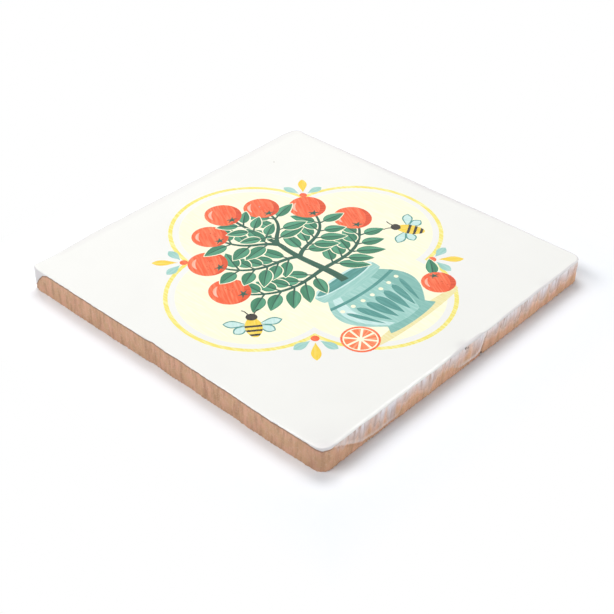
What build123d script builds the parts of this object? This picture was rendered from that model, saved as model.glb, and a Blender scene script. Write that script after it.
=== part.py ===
"""Square picture tile: a slab of red-firing clay with a white glaze fused over its face.

The clay slab is cut to size, fired, glazed from the face side and fired again, so the tile is one piece.
The glaze rolls over the rim of the face and stops in a soft bead on the four cut sides, a little proud of
the bare clay below it. The back is left as plain fired clay.

Frame: origin at the centre of the back, +Z out of the glazed face, +Y towards the top of the picture.
"""

from build123d import *

import os

# Driving dimensions in millimetres
face_side = 100.0  # glazed face, over the glaze, along both edges
tile_thickness = 7.0  # back of the clay to the top of the glaze
corner_radius = 3.0  # upright corners of the face, over the glaze
glaze_thickness = 0.3  # how far the glaze stands out from the clay
rim_radius = 0.6  # roll of the glaze from the face into the sides
lip_band = 0.15  # straight band of glaze between that roll and the bead
bead_share = 0.6  # radius of the bead as a share of the glaze thickness
back_edge_radius = 0.3  # worn edge between the sides and the back

# Sizes that follow from them
bead_radius = bead_share * glaze_thickness
lip_height = rim_radius + lip_band + bead_radius
lip_level = tile_thickness - lip_height
clay_side = face_side - 2 * glaze_thickness
clay_corner_radius = corner_radius - glaze_thickness

with BuildPart() as tile:
    # Clay slab, cut square, with softened upright corners and a worn back edge
    with BuildSketch(Plane.XY):
        RectangleRounded(clay_side, clay_side, clay_corner_radius)
    extrude(amount=lip_level)
    back_face = tile.faces().sort_by(Axis.Z).first
    fillet(back_face.edges(), back_edge_radius)

    # Glaze over the face, fused to the clay, with its rolled rim
    with BuildSketch(Plane.XY.offset(lip_level)):
        RectangleRounded(face_side, face_side, corner_radius)
    extrude(amount=lip_height)
    glazed_face = tile.faces().sort_by(Axis.Z).last
    fillet(glazed_face.edges(), rim_radius)

    # Bead where the glaze stops: the flat faces from the bottom up are the back, the ledge and the face
    ledge_face = tile.faces().filter_by(Plane.XY).sort_by(Axis.Z)[1]
    fillet(ledge_face.outer_wire().edges(), bead_radius)

tile.part.label = "tile"

os.makedirs("parts", exist_ok=True)
export_step(tile.part, "parts/tile.step")
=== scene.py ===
import bpy
import numpy as np
from mathutils import Matrix, Vector
from mathutils.geometry import delaunay_2d_cdt


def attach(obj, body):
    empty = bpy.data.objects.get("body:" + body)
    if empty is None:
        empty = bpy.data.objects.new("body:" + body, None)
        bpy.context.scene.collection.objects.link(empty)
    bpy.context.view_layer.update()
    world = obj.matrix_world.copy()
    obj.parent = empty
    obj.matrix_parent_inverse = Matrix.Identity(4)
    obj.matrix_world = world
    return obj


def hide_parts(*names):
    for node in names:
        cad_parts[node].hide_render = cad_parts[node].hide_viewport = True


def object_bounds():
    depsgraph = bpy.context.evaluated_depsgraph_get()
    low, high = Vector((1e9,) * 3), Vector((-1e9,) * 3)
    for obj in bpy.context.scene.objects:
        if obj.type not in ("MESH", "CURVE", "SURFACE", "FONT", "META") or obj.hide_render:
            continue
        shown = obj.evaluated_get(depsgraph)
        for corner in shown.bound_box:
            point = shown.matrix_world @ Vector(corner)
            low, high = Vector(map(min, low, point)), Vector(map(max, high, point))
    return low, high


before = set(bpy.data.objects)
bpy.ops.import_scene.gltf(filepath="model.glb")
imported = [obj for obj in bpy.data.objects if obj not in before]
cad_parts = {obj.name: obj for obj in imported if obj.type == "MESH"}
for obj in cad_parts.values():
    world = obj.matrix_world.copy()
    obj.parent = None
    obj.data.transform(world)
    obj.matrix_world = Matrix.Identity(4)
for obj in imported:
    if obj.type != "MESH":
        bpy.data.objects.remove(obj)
cad_low, cad_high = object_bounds()

# Clay slab
# A slab of red-firing clay, rolled out, cut square with a wire and fired once to biscuit. The wire leaves
# drag marks down its four sides, which stay bare or half bare in the finished tile. The back is plain.

MM = 0.001  # the arrays below are in millimetres, and the mesh is in metres

tile_side = (cad_high.x - cad_low.x) / MM
tile_thickness = (cad_high.z - cad_low.z) / MM
corner_radius = 3.0
back_edge_radius = 0.2
drag_mark_depth = 0.035
pinholes = [(-0.1, 6.1, 0.5), (0.85, 5.75, 0.42), (7.1, 0.4, 0.7)]  # x, z and radius, on the bottom edge
pinhole_depth = 0.25
pinhole_taper = 0.7  # how wide a pit stays on its way in, as a share of its radius

edge_steps = 320  # outline points on each straight edge
corner_steps = 16  # outline points on each rounded corner

straight = tile_side - 2 * corner_radius
quarter = straight + corner_radius * np.pi / 2
perimeter = 4 * quarter


def turned(points, degrees, place=(0.0, 0.0)):
    """Points in the plane of the tile, turned anticlockwise about the origin and then moved to a place."""
    c, s = np.cos(np.radians(degrees)), np.sin(np.radians(degrees))
    return np.asarray(points, float) @ np.array([[c, s], [-s, c]]) + place


# One edge and the corner that follows it, then the same three times more: right, top, left and bottom edge
edge_line = np.linspace(-straight / 2, straight / 2, edge_steps, endpoint=False)
corner_turn = np.linspace(0, np.pi / 2, corner_steps, endpoint=False)
corner_line = np.stack([np.cos(corner_turn), np.sin(corner_turn)], 1)
side_points = np.concatenate([
    np.stack([np.full(edge_steps, tile_side / 2), edge_line], 1),
    corner_line * corner_radius + straight / 2,
])
side_normals = np.concatenate([np.tile([1.0, 0.0], (edge_steps, 1)), corner_line])
side_travel = np.concatenate([edge_line + straight / 2, straight + corner_turn * corner_radius])
outline = np.concatenate([turned(side_points, 90 * k) for k in range(4)])
outward = np.concatenate([turned(side_normals, 90 * k) for k in range(4)])
travel = np.concatenate([side_travel + quarter * k for k in range(4)])
RIGHT, TOP, LEFT, BOTTOM = range(4)

chance = np.random.default_rng(5)


def wander(wavelength):
    """A closed line round the tile that wanders about 0 at a wavelength in mm, with about unit height."""
    finest, spread = 2.2, 0.6  # how many more waves than the wavelength gives, and how far they are mixed
    waves = np.arange(1, int(finest * perimeter / wavelength))
    height = np.exp(-((waves * wavelength / perimeter - 1) / spread) ** 2)
    phase = chance.uniform(0, 2 * np.pi, len(waves))
    line = (height * np.cos(2 * np.pi * np.outer(travel / perimeter, waves) + phase)).sum(1)
    return line / line.std()


def stations(edges):
    """A smooth line round the tile through values on its edges, given by their mm from the edge's middle."""
    rows = [(quarter * side + straight / 2 + offset, value)
            for side, row in edges.items() for offset, value in row]
    places, values = zip(*rows)
    line = np.interp(travel, places, values, period=perimeter)
    reach = 4  # outline points to either side, about a millimetre
    spread = np.exp(-np.linspace(-2, 2, 2 * reach + 1) ** 2)
    return np.convolve(np.concatenate([line[-reach:], line, line[:reach]]), spread / spread.sum(), "valid")


# The wire didn't run quite true, so the outline strays from a square by these mm, outwards where positive,
# and it wanders a little all round
stray = stations({
    RIGHT: [(-46, 0.2), (-24, 0.4), (10, 0.0), (30, -0.5), (46, -0.9)],
    TOP: [(-44, 0.4), (-30, 0.15), (30, 0.1), (38, -0.5), (47, -0.7), (48.6, -0.3), (49.4, 0.5)],
    LEFT: [(-48.6, 0.0), (-47, -0.1), (-24, 0.0), (-5.5, -0.15), (-4.4, -0.4), (-3, -0.25), (22, 0.0),
           (34, 0.25), (46, 0.0)],
    BOTTOM: [(-49.4, -0.2), (-42, -0.3), (-26, -0.2), (-14, 0.0), (24, 0.15), (46, 0.15), (49.4, 0.45)],
}) + 0.025 * wander(11.0)
outline = outline + outward * stray[:, None]


def linear(code):
    """An sRGB hex code as linear red, green and blue."""
    srgb = np.array([int(code[i:i + 2], 16) / 255 for i in (1, 3, 5)])
    return tuple(np.where(srgb <= 0.04045, srgb / 12.92, ((srgb + 0.055) / 1.055) ** 2.4)) + (1.0,)


def add_node(tree, kind, inputs=(), **settings):
    """Adds a node with its settings, and sets or links its inputs, given by name or number."""
    made = tree.nodes.new(kind)
    for name, value in settings.items():
        setattr(made, name, value)
    for key, value in dict(inputs).items():
        if isinstance(value, bpy.types.NodeSocket):
            tree.links.new(value, made.inputs[key])
        else:
            made.inputs[key].default_value = value
    return made


def new_material(name):
    """An empty material and its node tree."""
    material = bpy.data.materials.new(name)
    material.use_nodes = True
    material.node_tree.nodes.clear()
    return material, material.node_tree


# Biscuit-fired red clay: dry and matt, tan with pinker patches, and streaked where the wire dragged. Under
# the glaze it is stained dark, and the stain carries painted shade from the lip's overhang. Towards the
# floor it is painted darker as shade, and round a spot near the front corner it is darker. Glaze that ran
# on down it lies over it as a thin lilac-white skin, which is shiny and lets the deepest drag marks show
# through. The pinholes and the groove below the skin's ridge are painted dark as the shade in them.
drag_width, drag_length, drag_lean = 1.0, 6.0, (0.0, -7.0, 0.0)  # the lean is in degrees
drip_width, drip_length = 2.6, 16.0
patch_size, grit_size = 2.6, 0.35
# The first reach is the dark band under the lip, a stain with painted shade from the lip's overhang; the
# last is the painted shade that darkens the clay towards the floor
stain_and_shade_reach, bare_reach, milk_reach, foot_shade_reach = 0.7, 0.8, 2.2, 6.5
dark_corner, dark_reach = Vector((-47.0, -50.0, 3.5)), 11.0  # a spot near the front corner, and the reach round it in which the clay is darker
pinhole_shade_core = 0.4  # share of a pinhole's radius that is wholly dark, painted as the shade in the pit
ragged_drips = -3.0  # mm by which the milky skin's border follows the drips
clay_material, tree = new_material("biscuit_fired_clay")
place = add_node(tree, "ShaderNodeTexCoord").outputs["Object"]
leaning = add_node(tree, "ShaderNodeVectorRotate", {"Vector": place, "Rotation": np.radians(drag_lean)},
                   rotation_type="EULER_XYZ")
streaks = []
for width, length, detail, roughness in (
    (drag_width, drag_length, 2.0, 0.6),
    (drip_width, drip_length, 3.0, 0.65),
):
    drawn_out = add_node(tree, "ShaderNodeVectorMath",
                         {0: leaning.outputs[0], 1: (1 / width, 1 / width, 1 / length)},
                         operation="MULTIPLY")
    streaks.append(add_node(tree, "ShaderNodeTexNoise",
                            {"Vector": drawn_out.outputs[0], "Scale": 1 / MM, "Detail": detail,
                             "Roughness": roughness}).outputs["Fac"])
drag_marks, drips = streaks
patches, grit = (
    add_node(tree, "ShaderNodeTexNoise",
             {"Vector": place, "Scale": 1 / (size * MM), "Detail": detail}).outputs["Fac"]
    for size, detail in ((patch_size, 3.0), (grit_size, 2.0))
)
film, milk, below_lip, ridge = (
    add_node(tree, "ShaderNodeAttribute", attribute_name=name).outputs["Fac"]
    for name in ("film", "milk", "below_lip", "ridge")
)
milk_border = add_node(tree, "ShaderNodeMath", {0: drips, 1: ragged_drips, 2: milk},
                       operation="MULTIPLY_ADD")
height = add_node(tree, "ShaderNodeSeparateXYZ", {0: place}).outputs["Z"]
corner_gap = add_node(tree, "ShaderNodeVectorMath", {0: place, 1: dark_corner * MM}, operation="DISTANCE")

# How much of each layer shows: what it follows, from which value to which, its share at either end, and how
# it eases between them
shares = {}
for name, follows, start, end, start_share, end_share, ease in (
    ("patches", patches, 0.36, 0.64, 0.0, 1.0, "LINEAR"),
    ("drag", drag_marks, 0.44, 0.72, 0.0, 0.44, "LINEAR"),
    ("grit", grit, 0.54, 0.74, 0.0, 0.6, "LINEAR"),
    ("film_cover", film, -0.1, 0.2, 0.0, 1.0, "SMOOTHSTEP"),
    ("film_streaks", drips, 0.58, 0.42, 0.0, 0.30, "LINEAR"),
    ("milk_cover", milk_border.outputs[0], -3.9, 0.2, 0.0, 1.0, "LINEAR"),
    ("milk_streaks", drips, 0.50, 0.68, 0.95, 0.45, "LINEAR"),
    ("milk_run", below_lip, bare_reach, milk_reach, 0.0, 1.0, "LINEAR"),
    ("deep_drag", drag_marks, 0.50, 0.66, 0.0, 0.75, "LINEAR"),
    ("ridge", ridge, 0.0, 1.0, 0.0, 0.7, "LINEAR"),
    # painted shade in the groove below the skin's ridge
    ("groove", ridge, 0.0, -1.0, 0.0, 0.45, "LINEAR"),
    # a stain under the lip, with painted shade from the lip's overhang
    ("lip_stain_and_shade", below_lip, 0.0, stain_and_shade_reach, 0.85, 0.0, "SMOOTHSTEP"),
    # painted shade: the clay darker towards the floor
    ("foot_shade", height, 0.0, foot_shade_reach * MM, 0.13, 0.0, "SMOOTHSTEP"),
    # darker round a spot near the front corner
    ("corner_darkening", corner_gap.outputs["Value"], 0.0, dark_reach * MM, 0.25, 0.0, "SMOOTHSTEP"),
):
    shares[name] = add_node(tree, "ShaderNodeMapRange",
                            {"Value": follows, "From Min": start, "From Max": end, "To Min": start_share,
                             "To Max": end_share}, interpolation_type=ease).outputs[0]
for name, first, second, operation in (
    ("film", "film_cover", "film_streaks", "MULTIPLY"),
    ("milk", "milk_cover", "milk_streaks", "MULTIPLY"),
    ("skin", "film", "milk", "MAXIMUM"),
    ("drag_through_skin", "skin", "deep_drag", "MULTIPLY"),
):
    shares[name] = add_node(tree, "ShaderNodeMath", {0: shares[first], 1: shares[second]},
                            operation=operation).outputs[0]
shares["pinholes"] = 0.0
# each pinhole is painted dark towards its middle, as the shade in the pit
for x, z, radius in pinholes:
    gap = add_node(tree, "ShaderNodeVectorMath", {0: place, 1: (x * MM, -tile_side / 2 * MM, z * MM)},
                   operation="DISTANCE")
    pit_shade = add_node(tree, "ShaderNodeMapRange",
                    {"Value": gap.outputs["Value"], "From Min": radius * MM,
                     "From Max": pinhole_shade_core * radius * MM}, interpolation_type="SMOOTHSTEP")
    shares["pinholes"] = add_node(tree, "ShaderNodeMath", {0: shares["pinholes"], 1: pit_shade.outputs[0]},
                                  operation="MAXIMUM").outputs[0]

# The layers, from the clay itself to the pinholes, each over those before it
milk_colour = add_node(tree, "ShaderNodeMix",
                       {0: shares["milk_run"], 6: linear("#ece8e9"), 7: linear("#dcd5da")}, data_type="RGBA")
body = linear("#dfac8f")
for name, colour in (
    ("patches", linear("#d5aa86")),
    ("drag", linear("#8f6247")),
    ("grit", linear("#e8cbb4")),
    ("film", linear("#d2c8ca")),
    ("milk", milk_colour.outputs[2]),
    ("drag_through_skin", linear("#a27457")),
    ("ridge", linear("#eee5e1")),
    # painted shade in the groove below the ridge
    ("groove", linear("#8a6450")),
    # the dark band under the lip: a stain, with painted shade from the lip's overhang
    ("lip_stain_and_shade", linear("#6e4a38")),
    # painted shade near the floor
    ("foot_shade", linear("#94643f")),
    ("corner_darkening", linear("#8f6247")),
    # painted shade in the pinholes
    ("pinholes", linear("#4a3c38")),
):
    body = add_node(tree, "ShaderNodeMix", {0: shares[name], 6: body, 7: colour},
                    data_type="RGBA").outputs[2]
dryness = add_node(tree, "ShaderNodeMapRange",
                   {"Value": shares["skin"], "From Max": 0.3, "To Min": 0.9, "To Max": 0.22})
relief = add_node(tree, "ShaderNodeMath", {0: grit, 1: 0.5, 2: drag_marks}, operation="MULTIPLY_ADD")
bump = add_node(tree, "ShaderNodeBump", {"Height": relief.outputs[0], "Strength": 0.7, "Distance": 0.2 * MM})
shader = add_node(tree, "ShaderNodeBsdfPrincipled",
                  {"Base Color": body, "Roughness": dryness.outputs[0], "IOR": 1.5,
                   "Normal": bump.outputs[0]})
add_node(tree, "ShaderNodeOutputMaterial", {"Surface": shader.outputs[0]})

# Glaze
# A white glaze poured over the face and fired again. It rolls over the rim and stops in a bead: short and
# crisp on the left and right edge, and on the top and bottom edge with a thin skin that ran on down.

glaze_thickness = stations({
    RIGHT: [(0, 0.1)],
    TOP: [(0, 0.1)],
    LEFT: [(0, 0.08), (46, 0.1)],
    BOTTOM: [(-44, 0.12), (-8, 0.12), (-4, 0.05), (6, 0.05), (9, 0.1), (14, 0.02), (46, 0.02)],
})
bead_share = 0.6  # radius of the bead, as a share of the thickness
bead_radius = bead_share * glaze_thickness

# How far the roll reaches in from the edge and down from the face, and how far down the lip lies, each with
# the small wander of a poured glaze
shoulder = stations({
    RIGHT: [(0, 1.5)],
    TOP: [(-46, 0.8), (44, 0.6)],
    LEFT: [(-47, 0.5), (-42, 0.35), (40, 0.35), (47, 0.4), (49.4, 0.5)],
    BOTTOM: [(-47, 0.5), (-45, 0.9), (-8, 0.9), (-5, 0.6), (-1, 1.2), (3, 1.0), (7, 0.6), (9, 1.2),
             (13, 1.2), (17, 0.7), (47, 0.7), (49.4, 0.7)],
}) + 0.04 * wander(9.0)
roll = stations({
    RIGHT: [(0, 0.5)],
    TOP: [(-44, 0.45), (44, 0.5)],
    LEFT: [(-47, 0.5), (-42, 0.2), (40, 0.25), (47, 0.3), (49.4, 0.45)],
    BOTTOM: [(-47, 0.4), (-45, 0.42), (-8, 0.42), (-3, 0.5), (3, 0.5), (8, 0.45), (13, 0.45), (18, 0.3),
             (47, 0.3)],
}) + 0.02 * wander(6.0)
lip_depth = stations({
    RIGHT: [(-44, 0.8), (40, 0.7), (47, 0.9)],
    TOP: [(-40, 1.0), (10, 1.2), (36, 1.4), (40, 1.8), (43, 2.9), (45.5, 4.5), (48, 5.9)],
    LEFT: [(-48.6, 5.5), (-47.7, 3.9), (-46.4, 2.2), (-45.2, 1.1), (-43.5, 0.5), (-42, 0.34), (20, 0.34),
           (42, 0.4), (47, 0.5), (49.4, 0.8)],
    BOTTOM: [(-47.5, 0.6), (-45, 0.55), (-8, 0.55), (-4, 0.6), (6, 0.6), (8, 0.55), (16, 0.5), (20, 0.42),
             (47, 0.42), (49, 0.6)],
}) + 0.05 * wander(7.0) + 0.03 * wander(2.2)

# Where the glaze begins to thin, in degrees of the roll, and the share of its white that is gone at the lip.
# On the right and top edge and at the left corner this grey is painted shade on the rim as well as thin
# glaze
thin_and_shade_from = stations({
    RIGHT: [(0, -15)],
    TOP: [(-46, -8), (40, -8), (48, 10)],
    LEFT: [(-46, 60), (44, 60), (48, 0)],
    BOTTOM: [(-47, 0), (-45, 75), (-8, 75), (-5, 0), (6, 0), (8, 60), (12, 60), (15, 30), (20, 10),
             (46, 10)],
})
thinnest_and_shaded = stations({
    RIGHT: [(0, 0.75)],
    TOP: [(-44, 0.9), (44, 0.9)],
    LEFT: [(-49, 1.0), (-46, 0.8), (-42, 0.15), (44, 0.2), (48, 0.8)],
    BOTTOM: [(-46, 0.9), (49, 0.8)],
})
thin_spots = [  # x, y, reach and share of thin places on the face
    (-50.0, -50.0, 6.0, 1.0),
    (-50.0, -50.0, 13.0, 0.25),
    (-0.5, -50.0, 2.8, 0.6),
    (34.0, -52.5, 4.5, 0.7),
]

# How far the milky skin hangs below the face, how far the clear film below it ran, and its border's height
milk_depth = stations({
    RIGHT: [(-47, 1.2), (-44, -6.0), (44, -6.0)],
    TOP: [(-46, 2.0), (-20, 2.6), (5, 3.4), (14, 1.8), (40, 3.0), (46, 7.0)],
    LEFT: [(-48, 4.0), (-46, -6.0), (48, -6.0)],
    BOTTOM: [(-47.4, -6.0), (-46, 0.6), (-44, 1.3), (-36, 2.4), (-31, 2.5), (-29, 3.0), (-27.5, 3.8),
             (-26, 2.4), (-24, 1.5), (-18, 1.8), (-13.5, 4.0), (-11, 2.0), (-7, 1.8), (-3, 1.4), (3, 1.6),
             (8.2, 2.2), (14, 2.0), (19, 2.9), (24, 2.6), (27, 2.0), (32, 2.8), (38, 2.1), (46, 2.6),
             (49, 2.6)],
})
film_depth = stations({
    RIGHT: [(0, 0.0)],
    TOP: [(-30, 0.0), (-22, 4.4), (-14, 6.2), (6, 6.2), (10, 0.0), (34, 0.0), (40, 5.0), (46, 6.2)],
    LEFT: [(-48, 6.2), (-47, 0.0), (48, 0.0)],
    BOTTOM: [(-47.6, 0.0), (-46.8, 0.8), (-44, 2.1), (-40, 4.3), (-37.2, 5.7), (-34, 6.1), (-24.5, 6.2),
             (-22.5, 3.0), (-21, 0.0), (-9, 0.0), (-6, 3.4), (-2, 5.8), (3.8, 6.1), (6.0, 5.9), (7.0, 4.6),
             (8.4, 0.0), (48, 0.0)],
})
ridge_height = stations({
    RIGHT: [(0, 0.5)],
    TOP: [(0, 0.5)],
    LEFT: [(0, 0.5)],
    BOTTOM: [(-46, 0.7), (-27, 0.8), (-23, 0.0), (-4, 0.0), (0, 0.8), (3, 1.1), (5, 1.1), (6.3, 1.5),
             (8.5, 1.5), (20, 0.5)],
})

# White tin glaze: an even, faintly warm white, wet and glassy, with slow swells and paler where it is thick.
# Over the rim it thins and turns lilac grey; on the right and top edge and at the left corner that grey is
# also painted shade on the rim. The picture's inks lie in it, streaked by the brush.
cloud_size, swell_size = 14.0, 6.0
bristle_length, bristle_width = 5.0, 0.55
glaze_material, tree = new_material("white_tin_glaze")
place = add_node(tree, "ShaderNodeTexCoord").outputs["Object"]
clouds, swell = (
    add_node(tree, "ShaderNodeTexNoise",
             {"Vector": place, "Scale": 1 / (size * MM), "Detail": detail}).outputs["Fac"]
    for size, detail in ((cloud_size, 2.0), (swell_size, 1.0))
)
thin_and_shade, cover = (
    add_node(tree, "ShaderNodeAttribute", attribute_name=name).outputs["Fac"]
    for name in ("thin_and_shade", "ink_cover")
)
brush, ink, second_ink = (
    add_node(tree, "ShaderNodeAttribute", attribute_name=name).outputs["Vector"]
    for name in ("brush", "ink", "second_ink")
)
brush_place = add_node(tree, "ShaderNodeVectorMath",
                       {0: brush, 1: (1 / bristle_length, 1 / bristle_width, 1.0)}, operation="MULTIPLY")
bristles = add_node(tree, "ShaderNodeTexNoise",
                    {"Vector": brush_place.outputs[0], "Scale": 1.0, "Detail": 3.0})
bristle_share = add_node(tree, "ShaderNodeMapRange",
                         {"Value": bristles.outputs["Fac"], "From Min": 0.42, "From Max": 0.70})
inks = add_node(tree, "ShaderNodeMix", {0: bristle_share.outputs[0], 6: ink, 7: second_ink},
                data_type="RGBA")
colour = linear("#f4f2ed")
# thinned glaze turns lilac grey; on the right and top rim and at the left corner this grey is also painted
# shade
for share, layer in ((clouds, linear("#efede8")), (thin_and_shade, linear("#d8d2d2")), (cover, inks.outputs[2])):
    colour = add_node(tree, "ShaderNodeMix", {0: share, 6: colour, 7: layer}, data_type="RGBA").outputs[2]
gloss = add_node(tree, "ShaderNodeMapRange",
                 {"Value": thin_and_shade, "From Max": 0.6, "To Min": 0.08, "To Max": 0.22})
bump = add_node(tree, "ShaderNodeBump", {"Height": swell, "Strength": 0.25, "Distance": 0.1 * MM})
shader = add_node(tree, "ShaderNodeBsdfPrincipled",
                  {"Base Color": colour, "Roughness": gloss.outputs[0], "IOR": 1.52,
                   "Normal": bump.outputs[0]})
add_node(tree, "ShaderNodeOutputMaterial", {"Surface": shader.outputs[0]})

# Picture
# A print of ceramic inks, laid on the glaze and melted into it in the last firing, so it has no height of
# its own. It shows a potted fruit tree in a medallion, and each shape is an outline filled with one ink.

picture_scale = 1.13  # the drawing is 75 mm wide, and is printed this much larger

hand = np.random.default_rng(11)
INKS = {  # each ink with the colour that its brush marks thin or thicken to
    "wash": ("#fdf8d6", "#fffbe2"),
    "yellow": ("#f4e268", "#fbf3a8"),
    "yolk": ("#f5cd2f", "#f9dd66"),
    "straw": ("#f0e2a2", "#f6ecbb"),
    "aqua": ("#97cabf", "#b0d8d0"),
    "aqua_deep": ("#7db6ab", "#8fc3b8"),
    "aqua_pale": ("#c3e4de", "#d8efea"),
    "teal": ("#4c9189", "#5fa39a"),
    "leaf": ("#2f7a59", "#3f8d69"),
    "leaf_light": ("#489471", "#5aa682"),
    "leaf_dark": ("#205542", "#2a6650"),
    "orange": ("#f55c2b", "#ff8457"),
    "orange_deep": ("#dc4416", "#ea5c2e"),
    "orange_pale": ("#ffb195", "#ffc9b3"),
    "orange_flesh": ("#f9773f", "#ffab82"),
    "black": ("#2b2720", "#3c372e"),
    "speck": ("#b3aca0", "#c4beb3"),
}
shapes = []


def paint(points, ink, place=(0.0, 0.0), degrees=90.0):
    """Adds a shape to the picture: its outline, its ink, and the start and direction of its brush marks."""
    points = np.asarray(points, float) * picture_scale
    x, y = points.T
    if (x * np.roll(y, -1) - y * np.roll(x, -1)).sum() <= 0:
        points = points[::-1]  # outlines run anticlockwise
    shapes.append((points, ink, np.asarray(place) * picture_scale, degrees))


def curve(start, leave, arrive, end, count=24):
    """Points along a bend from start to end, drawn towards the two points between them."""
    t = np.linspace(0, 1, count)[:, None]
    start, leave, arrive, end = (np.asarray(p, float) for p in (start, leave, arrive, end))
    return (1 - t) ** 3 * start + 3 * (1 - t) ** 2 * t * leave + 3 * (1 - t) * t ** 2 * arrive + t ** 3 * end


def heading(line):
    """Direction from a line's first point to its last, in degrees."""
    return np.degrees(np.arctan2(*(line[-1] - line[0])[::-1]))


def ribbon(line, widths):
    """Outline of a brush stroke along a line of points, with the stroke's width at each."""
    ahead = np.gradient(line, axis=0)
    ahead /= np.linalg.norm(ahead, axis=1)[:, None]
    half = np.stack([-ahead[:, 1], ahead[:, 0]], 1) * np.asarray(widths)[:, None] / 2
    return np.concatenate([line + half, (line - half)[::-1]])


def stroke(line, start, end, ink):
    """Paints a brush stroke along a line, from one width to another."""
    paint(ribbon(line, np.linspace(start, end, len(line))), ink, line[0], heading(line))


def blade(length, width, fullest, bend=0.0, low=-1.0, high=1.0, count=14):
    """Outline of a pointed blade along +X, fullest at a share of its length, and cut to low and high."""
    roundness = 0.85
    t = np.linspace(0, 1, count)
    half = width / 2 * np.sin(np.pi * t ** (np.log(0.5) / np.log(fullest))) ** roundness
    middle = bend * length * (t ** 2 - 0.35 * t)
    upper = np.stack([t * length, middle + high * half], 1)
    lower = np.stack([t * length, middle + low * half], 1)
    return np.concatenate([upper, lower[-2:0:-1]])


def oval(radius_x, radius_y, count=36, wobble=0.0):
    """Outline of an oval, as unsteady as the hand's wobble makes it."""
    t = np.linspace(0, 2 * np.pi, count, endpoint=False)
    grow = 1 + wobble * (np.sin(2 * t + hand.uniform(0, 6)) + 0.6 * np.sin(3 * t + hand.uniform(0, 6)))
    return np.stack([radius_x * grow * np.cos(t), radius_y * grow * np.sin(t)], 1)


def leaf(place, degrees, length, width, bend):
    """A pointed leaf: stalk, a pale rim that parts it from what lies below, body, light half and midrib."""
    fullest = 0.40
    midrib_share, midrib_steps = 0.86, 12
    t = np.linspace(0, midrib_share, midrib_steps)
    midrib = np.stack([t * length, bend * length * (t ** 2 - 0.35 * t)], 1)
    stalk = np.array([[-1.3, 0.0], [-0.5, 0.0], [0.6, 0.0]])
    for points, ink in (
        (blade(length + 0.5, width + 0.6, fullest, bend) - [0.2, 0.0], "wash"),
        (ribbon(stalk, [0.5, 0.45, 0.4]), "leaf_dark"),
        (blade(length, width, fullest, bend), "leaf"),
        (blade(length, width, fullest, bend, 0.04, 0.84), "leaf_light"),
        (ribbon(midrib, np.linspace(0.42, 0.14, midrib_steps)), "leaf_dark"),
    ):
        paint(turned(points, degrees, place), ink, place, degrees)


def fruit(place, radius, turn=0.0):
    """A round fruit: its disc, the shade on one side, a gleam, pores and the green star at its stalk."""
    shade_steps, shade_depth = 20, 0.30
    gleam_steps, gleam_width = 12, 0.17
    pores, pore_radius = 8, 0.16
    star_points, star_notch, star_tip, star_place, star_height = 10, 0.13, 0.36, 0.66, 0.7
    place = np.asarray(place, float)
    paint(oval(radius, radius, 40, 0.012) + place, "orange", place, 60)
    t = np.radians(np.linspace(-125, 30, shade_steps))
    rim = np.stack([np.cos(t), np.sin(t)], 1) * radius * 0.98
    depth = shade_depth * radius * np.sin(np.linspace(0, np.pi, shade_steps))[:, None]
    shade = np.concatenate([rim, (rim + depth * np.array([-0.7, 0.7]))[-2:0:-1]])
    paint(shade + place, "orange_deep", place, -45)
    gleam = curve((-0.68, 0.08), (-0.66, 0.40), (-0.42, 0.64), (-0.12, 0.70), gleam_steps) * radius + place
    gleam_widths = radius * gleam_width * np.sin(np.linspace(0.2, np.pi - 0.2, gleam_steps))
    paint(ribbon(gleam, gleam_widths), "orange_pale", place, 40)
    for _ in range(pores):
        at = turned([[radius * hand.uniform(0.1, 0.6), 0]], hand.uniform(-150, 90), place)[0]
        paint(oval(pore_radius, pore_radius, 8) + at, "orange_deep", at)
    t = np.linspace(0, 2 * np.pi, star_points, endpoint=False) + np.pi / 2
    reach = np.where(np.arange(star_points) % 2, star_notch, star_tip) * radius
    star = np.stack([reach * np.cos(t), star_height * reach * np.sin(t) + star_place * radius], 1)
    paint(turned(star, turn, place), "leaf_dark", place)


def cut_fruit(place, radius):
    """A cut fruit seen face on: rind, pith and eight wedges of flesh."""
    wedges, wedge_turn, wedge_width = 8, 12, 0.80
    pith, flesh, core = 0.88, 0.81, 0.15  # shares of the radius
    place = np.asarray(place, float)
    paint(oval(radius, radius, 40, 0.01) + place, "orange", place)
    paint(oval(radius * pith, radius * pith, 40) + place, "wash", place)
    for k in range(wedges):
        middle = 360 / wedges * k + wedge_turn
        spread = np.radians(np.linspace(-wedge_width, wedge_width, 9) * 180 / wedges)
        arc = np.stack([np.cos(spread), np.sin(spread)], 1) * radius * flesh
        wedge = np.concatenate([[[radius * core, 0]], arc])
        paint(turned(wedge, middle, place), "orange_flesh", place, middle)


def quatrefoil(lobe, grow, count=40):
    """Four round lobes, as large as they lie from the centre, with their edge moved outwards by grow."""
    radius = lobe + grow
    cusp = (lobe + np.sqrt(2 * radius ** 2 - lobe ** 2)) / 2
    reach = np.arctan2(cusp, cusp - lobe)
    t = np.linspace(-reach, reach, count)
    arc = np.stack([lobe + radius * np.cos(t), radius * np.sin(t)], 1)[:-1]
    return np.concatenate([turned(arc, 90 * k) for k in range(4)])


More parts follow.
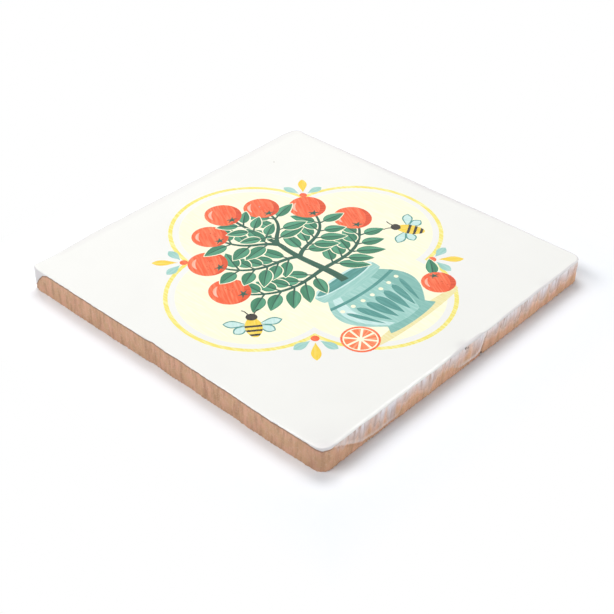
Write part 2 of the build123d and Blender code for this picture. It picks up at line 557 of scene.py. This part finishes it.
def bee(place, degrees):
    """A bee from above: four wings, a striped body, its head and feelers."""
    length, width = 6.8, 3.8
    wing_width, wing_fullest, wing_line = 2.6, 0.66, 0.35
    parts = []
    for side in (1, -1):
        for lean, reach in ((125, 4.6), (80, 5.8)):
            root = np.array([0.9, 0.7 * side])
            inside = turned([[0.4, 0]], side * lean, root)[0]
            wing = blade(reach, wing_width, wing_fullest)
            pane = blade(reach - 2 * wing_line, wing_width - 2 * wing_line, wing_fullest)
            parts.append((turned(wing, side * lean, root), "teal"))
            parts.append((turned(pane, side * lean, inside), "aqua_pale"))
    t = np.linspace(0, 1, 33)
    x = (t - 0.5) * length
    half = width / 2 * np.sin(np.pi * (0.03 + 0.94 * t)) ** 0.6
    for first, last, ink in ((0, 32, "yolk"), (2, 5, "black"), (9, 12, "black"), (16, 19, "black")):
        span = slice(first, last + 1)
        upper = np.stack([x[span], half[span]], 1)
        parts.append((np.concatenate([upper, upper[::-1] * [1, -1]]), ink))
    parts.append((oval(1.2, 1.3, 20) + [length / 2 + 0.15, 0], "black"))
    for side in (1, -1):
        feeler = curve((4.2, 0.5 * side), (5.0, 0.9 * side), (5.7, 1.1 * side), (6.1, 1.9 * side), 9)
        parts.append((ribbon(feeler, np.linspace(0.34, 0.26, 9)), "black"))
    for points, ink in parts:
        paint(turned(points, degrees, place), ink, place, degrees)


pot_top, pot_foot, pot_sag = -13.2, -28.4, 1.1


def pot_half(y):
    """Half the pot's width at a height: a round belly on a narrow foot, drawn in at the neck."""
    narrow, belly = 5.4, 6.4
    return narrow + belly * np.sin(np.pi * (0.05 + 0.80 * (y - pot_foot) / (pot_top - pot_foot)))


def pot_patch(top, bottom, left=-1.0, right=1.0, count=16):
    """A patch of the pot between two heights and two shares of its half width, sagging like its rim."""
    across = np.linspace(left, right, count)
    down = np.linspace(top, bottom, count)[1:-1]
    share = np.concatenate([across, np.full(count - 2, right), across[::-1], np.full(count - 2, left)])
    y = np.concatenate([np.full(count, top), down, np.full(count, bottom), down[::-1]])
    return np.stack([pot_half(y) * share, y - pot_sag * (1 - share ** 2)], 1)


# Medallion: a yellow band, bare glaze where there is no ink, a wash, and an ornament in each notch
lobe, notch_reach, bud_radius = 17.8, 28.2, 0.95
for grow, ink in ((1.9, "yellow"), (0.9, None), (-0.6, "wash")):
    paint(quatrefoil(lobe, grow), ink)
for corner in (45, 135, 225, 315):
    heart = turned([[notch_reach, 0]], corner)[0]
    for lean, reach, ink in ((-52, 4.6, "aqua"), (52, 4.6, "aqua"), (0, 6.0, "yolk")):
        drop = blade(reach, 2.2, 0.62) + [1.3, 0]
        paint(turned(drop, corner + lean, heart), ink, heart, corner + lean)
    paint(oval(bud_radius, bud_radius, 18) + heart, "orange", heart)

# Pot on its shadow
paint(oval(14.5, 1.5, 48) + [0.8, -30.6], "straw")
foot = curve((-6.4, -28.2), (-6.6, -29.2), (-7.4, -29.6), (-7.6, -30.4), 8)
base = curve((-7.6, -30.4), (-4, -31.5), (4, -31.5), (7.6, -30.4), 12)
paint(np.concatenate([foot, base[1:-1], (foot * [-1, 1])[::-1]]), "aqua_deep", (0, -28))
paint(pot_patch(pot_top, pot_foot), "aqua", (0, -13), -90)
paint(pot_patch(pot_top, pot_foot, 0.55, 1.0), "aqua_deep", (0, -13), -90)
paint(pot_patch(-13.6, -28.0, -0.86, -0.62), "aqua_pale", (0, -13), -90)
reed_pitch = 0.26  # of the pot's half width
for k in range(-3, 4):
    share = reed_pitch * k
    sag = pot_sag * (1 - share ** 2)
    upper = np.array([share * pot_half(-18.4), -18.6 - sag])
    lower = np.array([share * pot_half(-27.4), -27.1 - 0.8 * sag])
    reed = blade(np.linalg.norm(lower - upper), 2.5 * np.cos(0.35 * k), 0.34)
    paint(turned(reed, heading(np.array([upper, lower])), upper), "teal", upper, -90)
    paint(oval(0.55, 0.55, 14) + upper + [0, 0.9], "wash")
paint(pot_patch(-15.4, -16.2), "teal", (0, -15), 0)
rim_side = curve((-9.6, -10.4), (-9.8, -11.4), (-9.7, -12.4), (-9.4, -13.2), 6)
rim_base = curve((-9.4, -13.2), (-5, -15.2), (5, -15.2), (9.4, -13.2), 20)
paint(np.concatenate([rim_side, rim_base[1:-1], (rim_side * [-1, 1])[::-1]]), "aqua", (0, -10), 0)
paint(oval(9.6, 1.9, 48) + [0, -10.4], "aqua_pale", (0, -10), 0)
paint(oval(8.6, 1.4, 48) + [0, -10.5], "teal", (0, -10), 0)

# Stem and branches, leaves in pairs along them and a fruit at each end
leaf_lean, leaf_length, leaf_width, leaf_bend = 52, 6.6, 3.1, 0.10
shorter_leaf = 0.25  # by which each leaf is shorter than the one before it
stroke(curve((0.1, -10.9), (1.0, -5), (-1.0, 1), (0.1, 8)), 2.1, 1.4, "leaf_dark")
stroke(curve((0.1, 8), (0.6, 13), (-0.4, 18), (0, 23.5)), 1.4, 0.7, "leaf_dark")
branches = [  # line, number of leaf pairs, place, size and turn of the fruit
    (curve((0.1, -4.4), (6, -4.6), (12, -6.2), (18.5, 0.8)), 5, (20.6, 4.6), 4.7, -28),
    (curve((0.0, 2.6), (4, 6.0), (11, 3.2), (15.2, 11.4)), 5, (16.6, 15.6), 4.6, -18),
    (curve((0.1, 9.6), (2.2, 13.5), (6.6, 13.0), (8.0, 19.8)), 3, (8.6, 23.2), 4.3, -8),
]
for side in (1, -1):
    for line, pairs, end, radius, turn in branches:
        stroke(line * [side, 1], 1.15, 0.6, "leaf_dark")
for side in (1, -1):
    for line, pairs, end, radius, turn in branches:
        line = line * [side, 1]
        for n, at in enumerate(np.linspace(4, 20, pairs).astype(int)):
            along = heading(line[at - 1:at + 2])
            for lean_side in (1, -1):
                lean = lean_side * (leaf_lean + hand.uniform(-8, 8))
                start = line[at] + turned([[1.25, 0]], along + lean)[0]
                length = leaf_length + hand.uniform(-0.6, 0.9) - shorter_leaf * n
                width = leaf_width + hand.uniform(-0.2, 0.3)
                leaf(start, along + lean, length, width, leaf_bend * lean_side * hand.uniform(0.3, 1.2))
        fruit(np.array(end) * [side, 1], radius, turn * side + 180)
for y, lean in ((13.5, 60), (17.5, 55), (20.8, 48)):
    for side in (1, -1):
        start = np.array([0, y]) + turned([[1.2, 0]], 90 - side * lean)[0]
        leaf(start, 90 - side * lean, 5.2, 2.6, -0.1 * side)
fruit((0, 27.6), 4.5, 180)

# Bees, and fruit beside the pot
bee((26.2, -8.6), 118)
bee((-26.0, -8.0), 52)
cut_fruit((-13.6, -27.0), 4.3)
leaf((15.4, -23.6), 42, 6.0, 2.8, 0.1)
fruit((13.8, -26.4), 3.9, -30)

# Specks of ash in the glaze
for x, y in ((30.0, 40.8), (9.8, 27.1)):
    paint((oval(0.22, 0.2, 8) + [x, y]) / picture_scale, "speck")

# Tile
# Clay and glaze are one piece once fired, so the tile is one closed skin: the face with the picture's
# outlines as its mesh lines, rings down the rim, the lip and the clay sides, and the flat back.

face_step, back_step = 1.0, 2.5  # spacing of the mesh points on the face and on the back
roll_rings, wall_rings = 10, 28


def plate(ring, inset, drawn, step):
    """Fills a closed ring of points with triangles that keep to the drawn outlines.

    The ring lies at most inset mm inside the tile's outline. Returns the points, with the ring's own first,
    the triangles, and the number of the topmost shape on each, with 0 for none.
    """
    clearance = 0.6 * step
    same_point = 1e-7
    half = tile_side / 2 - inset
    bend = straight / 2
    rows = np.arange(-half, half, step * np.sqrt(3) / 2)
    columns = np.arange(-half, half, step)
    grid = np.array([(x + step / 2 * (n % 2), y) for n, y in enumerate(rows) for x in columns])
    over = np.maximum(np.abs(grid) - bend, 0)
    inside = np.hypot(*over.T) < half - bend - clearance
    points = np.concatenate([ring, *drawn, grid[inside]])
    counts = [len(ring)] + [len(d) for d in drawn]
    faces = [list(range(end - count, end)) for end, count in zip(np.cumsum(counts), counts)]
    found = delaunay_2d_cdt([Vector(p) for p in points], [], faces, 1, same_point)
    places, triangles, sources, covers = np.array(found[0]), np.array(found[2]), found[3], found[5]
    order = np.full(len(places), -1)
    for number, source in enumerate(sources):
        for s in source:
            if s < len(ring):
                order[number] = s
    rest = np.flatnonzero(order < 0)
    order[rest] = len(ring) + np.arange(len(rest))
    moved = np.empty_like(places)
    moved[order] = places
    return moved, order[triangles], np.array([max(c) for c in covers])


# Rings round the tile from the face to the back, each as inset from the outline and height
deepest_roll = 0.8  # of the lip's depth
lip_level = tile_thickness - lip_depth
roll = np.minimum(roll, deepest_roll * lip_depth)
band_top = tile_thickness - roll
band_foot = lip_level + bead_radius
level = np.zeros(len(outline))
rings = []
for angle in np.linspace(0, np.pi / 2, roll_rings):
    rings.append((shoulder * (1 - np.sin(angle)), tile_thickness - roll * (1 - np.cos(angle))))
for share in (0.5, 1.0):
    rings.append((level, band_top + share * (band_foot - band_top)))
for angle in np.radians([30, 60, 90]):
    rings.append((level + bead_radius * (1 - np.cos(angle)), lip_level + bead_radius * (1 - np.sin(angle))))
glaze_rings = len(rings)

# The clay's drag marks, and the skin that the glaze left on it, which ends in a ridge with a groove below
film_skin, milk_skin, ridge_skin = 0.05, 0.06, 0.08
film_taper, milk_taper = 0.4, 0.8
crest_place, crest_width = 0.4, 0.48  # above the film's border
groove_place, groove_width, groove_depth = -0.35, 0.35, 0.8
shortest_film = 0.3  # a film that ran no further has no border
no_border = -9.0  # stands for the height above a border that isn't there
drag_sway, sway_rate = 0.4, 1.3
relief_rate = 6  # the wall has its full relief a sixth of the way down
drag = wander(1.1) + 0.7 * wander(2.6) + 0.5 * wander(9.0)
milk_line = tile_thickness - milk_depth - 0.10 * wander(2.2) - 0.35 * wander(7.0)
film_line = tile_thickness - film_depth
film_slope = np.hypot(1, np.gradient(film_depth) / np.gradient(travel))
wall_milk, wall_film, wall_ridge = [], [], []
for share in np.linspace(0, 1, wall_rings):
    height = lip_level + (back_edge_radius - lip_level) * share
    above_milk = height - milk_line
    above_film = np.where(film_depth > shortest_film, (height - film_line) / film_slope, no_border)
    crest = np.exp(-((above_film - crest_place) / crest_width) ** 2)
    groove = np.exp(-((above_film - groove_place) / groove_width) ** 2)
    ridge = ridge_height * (crest - groove_depth * groove)
    skin = film_skin * np.clip(above_film / film_taper, 0, 1)
    skin += milk_skin * np.clip(above_milk / milk_taper + 0.5, 0, 1)
    skin += ridge_skin * ridge
    proud = skin + drag_mark_depth * (drag + drag_sway * np.sin(height * sway_rate + drag))
    for x, z, radius in pinholes:
        gap = np.hypot(outline[:, 0] - x, height - z)
        pit = pinhole_depth * np.exp(-(gap / (pinhole_taper * radius)) ** 2)
        proud -= np.where(outward[:, 1] < 0, pit, 0)
    rings.append((glaze_thickness - np.minimum(1, relief_rate * share) * proud, height))
    for store, values in ((wall_milk, above_milk), (wall_film, above_film), (wall_ridge, ridge)):
        store.append(values)
wall_foot = rings[-1][0]
for angle in np.radians([22.5, 45, 67.5, 90]):
    rings.append((wall_foot + back_edge_radius * (1 - np.cos(angle)),
                  level + back_edge_radius * (1 - np.sin(angle))))
edge_rings = len(rings) - glaze_rings - wall_rings

count = len(outline)
ring_xy = [outline - outward * inset[:, None] for inset, height in rings]
drawn = [points for points, ink, place, degrees in shapes]
rim_inset = (shoulder - stray).max()
face_xy, face_triangles, face_shape = plate(ring_xy[0], rim_inset, drawn, face_step)
back_xy, back_triangles, _ = plate(ring_xy[-1], (rings[-1][0] - stray).max(), [], back_step)


def swells(xy):
    """Height of the slow swells that a poured glaze keeps, in mm."""
    swell_share = 0.00035  # height of each swell, as a share of its length
    sway = np.random.default_rng(3)
    total = np.zeros(len(xy))
    for wavelength in (46.0, 38.0, 29.0, 21.0, 17.0, 13.0):
        way = sway.uniform(0, 2 * np.pi)
        phase = sway.uniform(0, 2 * np.pi)
        total += wavelength * np.cos(2 * np.pi / wavelength * (xy @ [np.cos(way), np.sin(way)]) + phase)
    return swell_share * total


calm_rim = 4.0  # mm along the rim over which the swells die out
from_edge = np.clip((tile_side / 2 - rim_inset - np.abs(face_xy).max(1)) / calm_rim, 0, 1)
face_z = tile_thickness + swells(face_xy) * from_edge
ring_points = [np.column_stack([xy, height]) for xy, (inset, height) in zip(ring_xy, rings)]
face_points = np.column_stack([face_xy, face_z])[count:]
back_points = np.column_stack([back_xy, np.zeros(len(back_xy))])[count:]
vertices = np.concatenate(ring_points + [face_points, back_points]) * MM
face_first = count * len(rings)
back_first = face_first + len(face_points)

following = np.roll(np.arange(count), -1)
bands = np.arange(len(rings) - 1)
quads = np.concatenate([
    np.stack([k * count + np.arange(count), (k + 1) * count + np.arange(count), (k + 1) * count + following,
              k * count + following], 1)
    for k in bands
])
face_index = np.where(face_triangles < count, face_triangles, face_triangles - count + face_first)
back_index = np.where(back_triangles < count, back_triangles + count * (len(rings) - 1),
                      back_triangles - count + back_first)[:, ::-1]
polygons = face_index.tolist() + quads.tolist() + back_index.tolist()
mesh = bpy.data.meshes.new("glazed_tile")
mesh.from_pydata(vertices.tolist(), [], polygons)
mesh.materials.append(glaze_material)
mesh.materials.append(clay_material)
quad_material = np.repeat(bands >= glaze_rings, count).astype(int)
mesh.polygons.foreach_set("material_index", np.concatenate([
    np.zeros(len(face_index), int), quad_material, np.ones(len(back_index), int),
]))
mesh.polygons.foreach_set("use_smooth", np.ones(len(polygons), bool))


def attribute(name, kind, domain, *values):
    """Stores one value, or one vector, for each point, face or corner of the tile's mesh."""
    field = "vector" if kind == "FLOAT_VECTOR" else "value"
    joined = np.concatenate(values).astype(np.float32)
    mesh.attributes.new(name, kind, domain).data.foreach_set(field, joined.ravel())


# For the clay's finish: the depth below the lip, the height above the lower border of the milky skin and of
# the film, in mm, and the share of ridge
far_below = 9.0
flat_points = len(vertices) - face_first
glaze_count = glaze_rings * count
ring_heights = np.concatenate([height for inset, height in rings])
stain_and_shade_gap = stations({  # how far below the lip the dark stain and its painted shade are left out
    RIGHT: [(0, 0.0)],
    TOP: [(0, 0.0)],
    LEFT: [(48, 0.0)],
    BOTTOM: [(-47, 0.0), (-44, 0.7), (-5, 0.8), (6, 0.8), (9, 0.4), (13, 0.8), (46, 0.8), (49, 0.5)],
})
attribute("below_lip", "FLOAT", "POINT", np.tile(lip_level + stain_and_shade_gap, len(rings)) - ring_heights,
          np.full(flat_points, far_below))
for name, values, none in (("milk", wall_milk, no_border), ("film", wall_film, no_border),
                           ("ridge", wall_ridge, 0.0)):
    attribute(name, "FLOAT", "POINT", np.full(glaze_count, none), *values, np.tile(values[-1], edge_rings),
              np.full(flat_points, none))

# For the glaze's finish: how far it has thinned over the rim and at the thin spots, the grey of which is
# also painted shade on the right and top rim and at the left corner
ring_turn, thinning_turn = 10.0, 30  # degrees of the roll
thin_and_shade = np.concatenate([
    *(np.clip((ring_turn * k - thin_and_shade_from) / thinning_turn, 0, 1) * thinnest_and_shaded for k in range(glaze_rings)),
    np.zeros(len(vertices) - glaze_count),
])
for x, y, reach, share in thin_spots:
    gap = np.hypot(*(vertices[:, :2] / MM - [x, y]).T)
    thin_and_shade = np.maximum(thin_and_shade, share * np.clip(1 - (gap / reach) ** 2, 0, 1) ** 2)
attribute("thin_and_shade", "FLOAT", "POINT", thin_and_shade)

# Ink, second ink and cover for each face, and the brush's own way along and across each shape at each corner
bristle_shift = 7.3  # gives each shape bristles of its own
blank = len(polygons) - len(face_index)
ink_of = [None] + [ink for points, ink, place, degrees in shapes]
for name, which in (("ink", 0), ("second_ink", 1)):
    colours = np.array([linear(INKS[ink][which] if ink else "#ffffff")[:3] for ink in ink_of])
    attribute(name, "FLOAT_VECTOR", "FACE", colours[face_shape], np.zeros((blank, 3)))
inked = np.array([float(ink is not None) for ink in ink_of])
attribute("ink_cover", "FLOAT", "FACE", inked[face_shape], np.zeros(blank))
brush_start = np.array([(0.0, 0.0)] + [place for points, ink, place, degrees in shapes])
brush_turn = np.radians([0.0] + [degrees for points, ink, place, degrees in shapes])
corner_shape = np.repeat(face_shape, 3)
x, y = (face_xy[face_triangles.ravel()] - brush_start[corner_shape]).T
c, s = np.cos(brush_turn[corner_shape]), np.sin(brush_turn[corner_shape])
brush_place = np.stack([x * c + y * s, y * c - x * s, corner_shape * bristle_shift], 1)
attribute("brush", "FLOAT_VECTOR", "CORNER", brush_place, np.zeros((len(mesh.loops) - len(brush_place), 3)))

# The whole skin laid out flat for baking: the face, a strip for each side along its top and right, and the
# back, as shares of the layout
margin, face_span, back_span = 0.005, 0.855, 0.125
strip_start, strip_pitch, strip_span = 0.87, 0.066, 0.06
bake_side = tile_side + 2  # room for the stray outline
side_count = edge_steps + corner_steps
side_of, along = np.divmod(np.arange(count), side_count)
quad_along = np.stack([along, along, along + 1, along + 1], 1) / side_count
on_top = (side_of < 2)[:, None]
quad_maps = []
for band in bands:
    down = np.tile((band + np.array([0, 1, 1, 0])) / len(bands), (count, 1))
    long = margin + face_span * quad_along
    short = strip_start + strip_pitch * (side_of % 2)[:, None] + strip_span * down
    quad_map = np.stack([np.where(on_top, long, short), np.where(on_top, short, long)], 2)
    quad_maps.append(quad_map.reshape(-1, 2))
face_map = margin + face_span * (face_xy[face_triangles.ravel()] / bake_side + 0.5)
back_map = strip_start + back_span * (back_xy[back_triangles[:, ::-1].ravel()] / bake_side + 0.5)
layout = np.concatenate([face_map, *quad_maps, back_map])
mesh.uv_layers.new(name="OFBake").data.foreach_set("uv", layout.ravel())

tile = bpy.data.objects.new("glazed_tile", mesh)
bpy.context.scene.collection.objects.link(tile)
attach(tile, "root")
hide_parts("tile")

# Floor
# A plain white studio sweep, painted matt. It keeps the tile's soft shadow near the tile, and further out it
# runs into the white of the backdrop.

floor_half = 3.0  # metres


def seen_share(tree):
    """1 for rays that show a surface to the camera, straight, in a gleam or through glass, and else 0."""
    rays = add_node(tree, "ShaderNodeLightPath").outputs
    share = rays["Is Camera Ray"]
    for kind in ("Is Glossy Ray", "Is Transmission Ray"):
        share = add_node(tree, "ShaderNodeMath", {0: share, 1: rays[kind]}, operation="MAXIMUM").outputs[0]
    return share


# Matt white emulsion: no gleam, and a trace of blue that balances the warm lamps
shadow_reach, white_from = 0.055, 0.074  # metres from the tile's middle, along its edges
shadow_lift = 0.03  # light that the open studio throws back into the shadow
floor_material, tree = new_material("matt_white_emulsion")
matt = add_node(tree, "ShaderNodeBsdfDiffuse", {"Color": linear("#f5f6f9")})
lift = add_node(tree, "ShaderNodeEmission", {"Strength": shadow_lift})
lifted = add_node(tree, "ShaderNodeAddShader", {0: matt.outputs[0], 1: lift.outputs[0]})
plain_white = add_node(tree, "ShaderNodeEmission", {"Strength": 1.0})
place = add_node(tree, "ShaderNodeTexCoord").outputs["Object"]
either_way = add_node(tree, "ShaderNodeVectorMath", {0: place}, operation="ABSOLUTE")
axes = add_node(tree, "ShaderNodeSeparateXYZ", {0: either_way.outputs[0]})
from_middle = add_node(tree, "ShaderNodeMath", {0: axes.outputs["X"], 1: axes.outputs["Y"]},
                       operation="MAXIMUM")
far_share = add_node(tree, "ShaderNodeMapRange",
                     {"Value": from_middle.outputs[0], "From Min": shadow_reach, "From Max": white_from},
                     interpolation_type="SMOOTHSTEP")
sweep = add_node(tree, "ShaderNodeMixShader",
                 {0: far_share.outputs[0], 1: lifted.outputs[0], 2: plain_white.outputs[0]})
ground = add_node(tree, "ShaderNodeMixShader",
                  {0: seen_share(tree), 1: matt.outputs[0], 2: sweep.outputs[0]})
add_node(tree, "ShaderNodeOutputMaterial", {"Surface": ground.outputs[0]})
floor_mesh = bpy.data.meshes.new("floor")
floor_corners = [(x * floor_half, y * floor_half, 0.0) for x, y in ((-1, -1), (1, -1), (1, 1), (-1, 1))]
floor_mesh.from_pydata(floor_corners, [], [(0, 1, 2, 3)])
floor_mesh.materials.append(floor_material)
floor = bpy.data.objects.new("floor", floor_mesh)
bpy.context.scene.collection.objects.link(floor)

# Light
# An even white studio. A near softbox high behind the tile throws the shadow forwards, two on its left and a
# small one on its right soften it and light the rim, and a low one in front fills the clay.

fill_colour, fill_strength = (0.5, 0.78, 1.0, 1.0), 0.14  # linear, as for all light
lamp_colour = (1.0, 0.98, 0.962)
world = bpy.data.worlds.new("studio")
bpy.context.scene.world = world
world.use_nodes = True
tree = world.node_tree
tree.nodes.clear()
fill = add_node(tree, "ShaderNodeBackground", {"Color": fill_colour, "Strength": fill_strength})
backdrop = add_node(tree, "ShaderNodeBackground", {"Color": (1.0, 1.0, 1.0, 1.0), "Strength": 1.0})
sky = add_node(tree, "ShaderNodeMixShader",
               {0: seen_share(tree), 1: fill.outputs[0], 2: backdrop.outputs[0]})
add_node(tree, "ShaderNodeOutputWorld", {"Surface": sky.outputs[0]})

for name, azimuth, elevation, distance, width, height, power in (  # degrees, metres and watts
    ("back_softbox", 54, 67, 0.60, 0.265, 0.245, 1.88),
    ("left_softbox", 172, 50, 1.20, 0.70, 0.42, 4.9),
    ("low_left_softbox", 138, 42, 1.20, 0.46, 0.34, 3.8),
    ("right_softbox", 3, 56, 1.20, 0.30, 0.30, 1.4),
    ("front_softbox", 285, 6, 1.20, 0.60, 0.20, 6.2),
):
    lamp = bpy.data.lights.new(name, "AREA")
    lamp.shape = "RECTANGLE"
    lamp.size = width
    lamp.size_y = height
    lamp.energy = power
    lamp.color = lamp_colour
    stand = bpy.data.objects.new(name, lamp)
    bpy.context.scene.collection.objects.link(stand)
    turn, rise = np.radians(azimuth), np.radians(elevation)
    towards = Vector((np.cos(turn) * np.cos(rise), np.sin(turn) * np.cos(rise), np.sin(rise)))
    stand.location = towards * distance
    stand.rotation_euler = (-stand.location).to_track_quat("-Z", "Y").to_euler()

# Camera
# The view of the photograph: from above the corner between the picture's left and bottom edge, rolled a
# little. The lens and the place come from the lines of the tile's edges.

lens, sensor_width = 71.8, 36.0
eye = Vector((-192.5, -171.1, 186.4)) * MM
aim = Vector((-11.3, -9.8, 3.5)) * MM
camera_roll = np.radians(1.11)
camera = bpy.data.cameras.new("camera")
camera.lens = lens
camera.sensor_width = sensor_width
camera.clip_start = 0.01
camera_object = bpy.data.objects.new("camera", camera)
bpy.context.scene.collection.objects.link(camera_object)
looking = (aim - eye).to_track_quat("-Z", "Y").to_matrix().to_4x4()
camera_object.matrix_world = Matrix.Translation(eye) @ looking @ Matrix.Rotation(camera_roll, 4, "Z")
bpy.context.scene.camera = camera_object
bpy.context.scene.view_settings.view_transform = "Standard"
